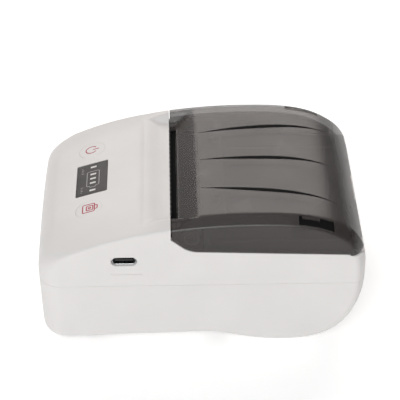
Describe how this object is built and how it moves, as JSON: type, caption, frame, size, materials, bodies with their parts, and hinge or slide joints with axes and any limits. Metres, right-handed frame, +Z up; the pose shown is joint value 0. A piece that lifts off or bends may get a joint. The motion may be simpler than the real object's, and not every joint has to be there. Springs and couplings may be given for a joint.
{
  "type": "receipt printer",
  "caption": "Portable thermal receipt printer with a hinged smoke-tinted roll cover, platen and gear train, print head, push buttons and charging socket.",
  "frame": {"origin": "on the table under the middle of the case, at the height of the feet and the round bottom's lowest line", "axes": "+X the operator's right across the paper, +Y from the control panel to the roll end, +Z up"},
  "size_m": [0.08, 0.12, 0.0567],
  "materials": {
    "case_white": "smooth satin white plastic",
    "smoke_cover": "glossy smoke-tinted see-through plastic",
    "dark_plastic": "dark grey satin plastic",
    "black_plastic": "black satin plastic",
    "rubber_black": "matt black rubber",
    "steel": "bright steel",
    "aluminium": "milled aluminium",
    "gear_white": "natural white acetal",
    "circuit_board": "green solder mask",
    "lens_dark": "dark tinted film with light windows",
    "light_guide": "clear moulded plastic",
    "battery_wrap": "blue shrink wrap",
    "lead_red": "red sleeved lead",
    "head_glaze": "dark glazed ceramic heater board",
    "ribbon": "amber flexible ribbon"
  },
  "bodies": {
    "case": {"lower_case": "case_white", "upper_case": "case_white", "battery_door": "case_white", "battery_door_screw": "steel", "case_screw_front_left": "steel", "case_screw_front_right": "steel", "case_screw_rear_left": "steel", "case_screw_rear_right": "steel", "foot_left": "rubber_black", "foot_right": "rubber_black", "hinge_pin": "steel", "roll_bin": "case_white", "mech_frame": "black_plastic", "idler_pin": "steel", "stepper_motor": "steel", "head_spring_left": "steel", "head_spring_right": "steel", "head_ribbon": "ribbon", "tear_bar": "dark_plastic", "mech_screw_left": "steel", "mech_screw_right": "steel", "main_pcb": "circuit_board", "board_screw_front_left": "steel", "board_screw_front_right": "steel", "board_screw_rear_left": "steel", "board_screw_rear_right": "steel", "usb_shell": "steel", "usb_tongue": "black_plastic", "wireless_module": "steel", "power_switch": "black_plastic", "feed_switch": "black_plastic", "indicator_lens": "lens_dark", "light_guide": "light_guide", "battery_pack": "battery_wrap", "battery_lead": "lead_red", "battery_plug": "gear_white"},
    "cover": {"roll_cover": "smoke_cover", "platen_holder": "case_white", "holder_screw_left": "steel", "holder_screw_right": "steel", "platen_bush_left": "gear_white", "platen_bush_right": "gear_white"},
    "platen": {"platen_shaft": "steel", "platen_roller": "rubber_black", "platen_gear": "gear_white"},
    "idler": {"idler_gear": "gear_white"},
    "rotor": {"motor_shaft": "steel", "motor_pinion": "gear_white"},
    "printhead": {"head_heatsink": "aluminium", "head_ceramic": "head_glaze"},
    "power_key": {"power_button": "case_white", "power_switch_plunger": "gear_white"},
    "feed_key": {"feed_button": "case_white", "feed_switch_plunger": "gear_white"}
  },
  "joints": [
    {"name": "cover_hinge", "type": "hinge", "parent": "case", "child": "cover", "pos_m": [0, 0.05665, 0.041], "axis": [-1, 0, 0], "range_deg": [0, 100]},
    {"name": "platen_spin", "type": "hinge", "parent": "cover", "child": "platen", "pos_m": [0, -0.0035, 0.0445], "axis": [1, 0, 0], "continuous": true},
    {"name": "idler_spin", "type": "hinge", "parent": "case", "child": "idler", "pos_m": [0, -0.00402, 0.03549], "axis": [1, 0, 0], "continuous": true},
    {"name": "motor_spin", "type": "hinge", "parent": "case", "child": "rotor", "pos_m": [0, -0.00914, 0.02866], "axis": [1, 0, 0], "continuous": true},
    {"name": "head_pivot", "type": "hinge", "parent": "case", "child": "printhead", "pos_m": [0, -0.011, 0.0395], "axis": [1, 0, 0], "range_deg": [0, 2.5], "stiffness_Nm_per_rad": 0.2},
    {"name": "power_press", "type": "slide", "parent": "case", "child": "power_key", "axis": [0, 0, -1], "range_m": [0, 0.0006], "stiffness_N_per_m": 2000},
    {"name": "feed_press", "type": "slide", "parent": "case", "child": "feed_key", "axis": [0, 0, -1], "range_m": [0, 0.0006], "stiffness_N_per_m": 2000}
  ],
  "couplings": [
    {"joint": "idler_spin", "follows": "platen_spin", "ratio": -2},
    {"joint": "motor_spin", "follows": "platen_spin", "ratio": 4.8}
  ]
}
